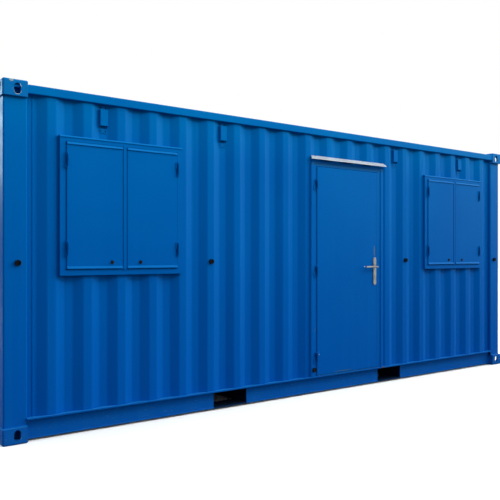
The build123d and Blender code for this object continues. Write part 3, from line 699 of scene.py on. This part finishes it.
def door_hinge_caps(side):
    """Domes on the hinge barrels and beads along the plates, on the fixed or the moving side."""

    def build(bm):
        for level in DOOR_HINGE_LEVELS:
            tip = level + side * 0.050
            turned(bm, (*DOOR_PIN, tip), (0, 0, side), DOOR_DOME)
            x = -0.0145 if side > 0 else -0.095
            y = LEAF_FRONT - 0.001
            bead(bm, [(x, y, level + side * 0.002), (x, y, tip)], 0.0028)

    return build


def shutter_trim(centre, side):
    """Caps and weld beads of the hinges on one shutter."""

    def build(bm):
        pin = centre + side * SHUTTER_PIN_OFFSET
        x, y = pin - side * 0.018, -1.2215
        for level in SHUTTER_HINGE_LEVELS:
            turned(bm, (pin, SHUTTER_PIN_Y, level + 0.057), (0, 0, 1), SHUTTER_DOME)
            bead(bm, [(x, y, level + 0.003), (x, y, level + 0.055)], 0.0026)

    return build


def knob_collar(centre, side):
    """Black rosette round the knob's root; both knobs of a pair sit a little to the right."""

    def build(bm):
        turned(bm, (centre + side * 0.122 + 0.014, -1.221, 1.289), (0, -1, 0), COLLAR)

    return build


def shutter_pin_caps(bm):
    """Domes under the fixed barrels and the beads that hold them."""
    for centre in WINDOWS:
        for side in (-1, 1):
            pin = centre + side * SHUTTER_PIN_OFFSET
            x, y = pin + side * 0.016, -1.2155
            for level in SHUTTER_HINGE_LEVELS:
                turned(bm, (pin, SHUTTER_PIN_Y, level - 0.057), (0, 0, -1), SHUTTER_DOME)
                bead(bm, [(x, y, level - 0.055), (x, y, level - 0.003)], 0.0026)


for name, body_name, side in (("fixed", "cabin", -1), ("moving", "door", 1)):
    make_piece(
        f"door_hinge_trim_{name}", body_name, "blue_paint", door_hinge_caps(side),
        material=PAINTED["door_hinge_pins"],
    )
for window, centre in zip(("left", "right"), WINDOWS):
    for leaf, side in (("left", -1), ("right", 1)):
        body_name = f"{window}_window_{leaf}_shutter"
        make_piece(
            f"{body_name}_trim", body_name, "blue_paint", shutter_trim(centre, side),
            material=SHUTTER_PAINT,
        )
        make_piece(
            f"{body_name}_knob_collar", body_name, "black_knob", knob_collar(centre, side)
        )
make_piece(
    "shutter_hinge_trim", "cabin", "blue_paint", shutter_pin_caps, material=SHUTTER_PAINT
)


# ---------------------------------------------------------------- bolts, rivets and screw
def vent_bolts(bm):
    """Two hexagon bolts on each tab of every vent."""
    for gap in (1, 5, 13, 17):
        middle = (gap - 9) * WAVE_PITCH - 0.008
        for z, size in ((2.484, 0.0062), (2.304, 0.0048)):
            head = ((size, 0), (size, size * 0.55), (size * 0.8, size * 0.7))
            for side in (-1, 1):
                turned(bm, (middle + side * 0.021, -1.162, z), (0, -1, 0), head, 6)


def drip_rivets(bm):
    """Rivets that hold the rain drip to the wall."""
    head = ((0.006, 0), (0.0056, 0.0016), (0.0035, 0.0028))
    for x in (-0.06, 0.27, 0.60, 0.87):
        turned(bm, (x, -1.1935, 2.3025), (0, -0.6, 0.8), head, 16)


def stop_screw(bm):
    """Screw in the recess of the door buffer."""
    low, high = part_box("door_stop")
    head = ((0.0055, 0), (0.0055, 0.002), (0.003, 0.0035))
    turned(bm, ((low[0] + high[0]) / 2, low[1] + 0.0082, 0.240), (0, -1, 0), head, 16)


make_piece("vent_bolts", "cabin", "black_rubber", vent_bolts)
make_piece("drip_rivets", "cabin", "brushed_steel", drip_rivets)
make_piece("door_stop_screw", "cabin", "black_knob", stop_screw)

# ---------------------------------------------------------------- floor, world and lamps
FLOOR_SEEN = 1.0        # the floor's grey on rays that are seen
FLOOR_BOUNCE = 0.09     # and on rays that light the object
SKY_SIDE = 0.50
SKY_TOP = 0.50
SKY_TINT = (0.90, 0.97, 1.08)
KEY = 6.6
KEY_TIGHT = 8.0
KEY_FROM = (0.900, -0.260, 0.350)
KEY_TINT = (1.06, 1.03, 0.88)
KEPT_OFF_ROOF = ("roof", "roof_weld_beads", "top_side_rails")


def make_floor():
    """Round floor, white where it is seen, that keeps the object's shadow."""
    mesh = bpy.data.meshes.new("studio_floor")
    bm = bmesh.new()
    bmesh.ops.create_circle(bm, cap_ends=True, radius=60.0, segments=96)
    bm.to_mesh(mesh)
    bm.free()
    floor = bpy.data.objects.new("studio_floor", mesh)
    bpy.context.scene.collection.objects.link(floor)
    material = bpy.data.materials.new("studio_floor")
    material.use_nodes = True
    g = Nodes(material.node_tree)
    shade = g.math("MULTIPLY_ADD", g.seen_ray(), FLOOR_SEEN - FLOOR_BOUNCE, FLOOR_BOUNCE)
    colour = g.add("ShaderNodeCombineXYZ")
    for axis in range(3):
        g.put(colour.inputs[axis], shade)
    diffuse = g.add("ShaderNodeBsdfDiffuse")
    g.put(diffuse.inputs["Color"], colour.outputs[0])
    output = g.add("ShaderNodeOutputMaterial")
    g.put(output.inputs["Surface"], diffuse.outputs[0])
    mesh.materials.append(material)


def make_world():
    """White where it is seen; as light, a soft sky with a broad key from the right."""
    world = bpy.data.worlds.new("studio")
    bpy.context.scene.world = world
    world.use_nodes = True
    g = Nodes(world.node_tree)
    direction = g.add("ShaderNodeTexCoord").outputs["Generated"]
    up = g.math("MAXIMUM", g.part(direction, 2), 0.0)
    sky = g.math("MULTIPLY_ADD", up, SKY_TOP, SKY_SIDE)
    toward = g.math("MAXIMUM", g.vector("DOT_PRODUCT", direction, KEY_FROM, output=1), 0.0)
    lobe = g.math("MULTIPLY", g.math("POWER", toward, KEY_TIGHT), KEY)
    key = g.vector("MULTIPLY", lobe, KEY_TINT)
    light = g.add("ShaderNodeBackground")
    g.put(light.inputs["Color"], g.vector("MULTIPLY_ADD", sky, SKY_TINT, key))
    backdrop = g.add("ShaderNodeBackground")
    backdrop.inputs["Color"].default_value = (1, 1, 1, 1)
    choose = g.add("ShaderNodeMixShader")
    g.put(choose.inputs[0], g.seen_ray())
    g.put(choose.inputs[1], light.outputs[0])
    g.put(choose.inputs[2], backdrop.outputs[0])
    output = g.add("ShaderNodeOutputWorld")
    g.put(output.inputs["Surface"], choose.outputs[0])


def softbox(name, place, target, size, power, colour):
    """Rectangular lamp that faces a point."""
    data = bpy.data.lights.new(name, "AREA")
    data.shape = "RECTANGLE"
    data.size, data.size_y = size
    data.energy = power
    data.color = colour
    lamp = bpy.data.objects.new(name, data)
    lamp.location = place
    aim = Vector(target) - Vector(place)
    lamp.rotation_euler = aim.to_track_quat("-Z", "Y").to_euler()
    bpy.context.scene.collection.objects.link(lamp)
    return lamp


def keep_off_roof(lamp):
    """Spare the roof and its rails, where a flat view would show the lamp as a white patch."""
    spared = bpy.data.collections.new("spared_by_end_lamp")
    for name in KEPT_OFF_ROOF:
        spared.objects.link(bpy.data.objects[name])
    for member in spared.collection_objects:
        member.light_linking.link_state = "EXCLUDE"
    lamp.light_linking.receiver_collection = spared


make_floor()
make_world()
softbox(
    "top", place=(0.8, -4.2, 4.3), target=(0.5, -1.2, 1.8), size=(9.0, 0.8),
    power=96.0, colour=(0.85, 0.92, 0.97),
)
end_lamp = softbox(
    "end", place=(-6.2, 9.0, 4.5), target=(-3.0, 0.0, 2.0), size=(3.0, 3.0),
    power=780.0, colour=(0.68, 0.92, 1.0),
)
keep_off_roof(end_lamp)

bpy.context.scene.view_settings.view_transform = "Standard"
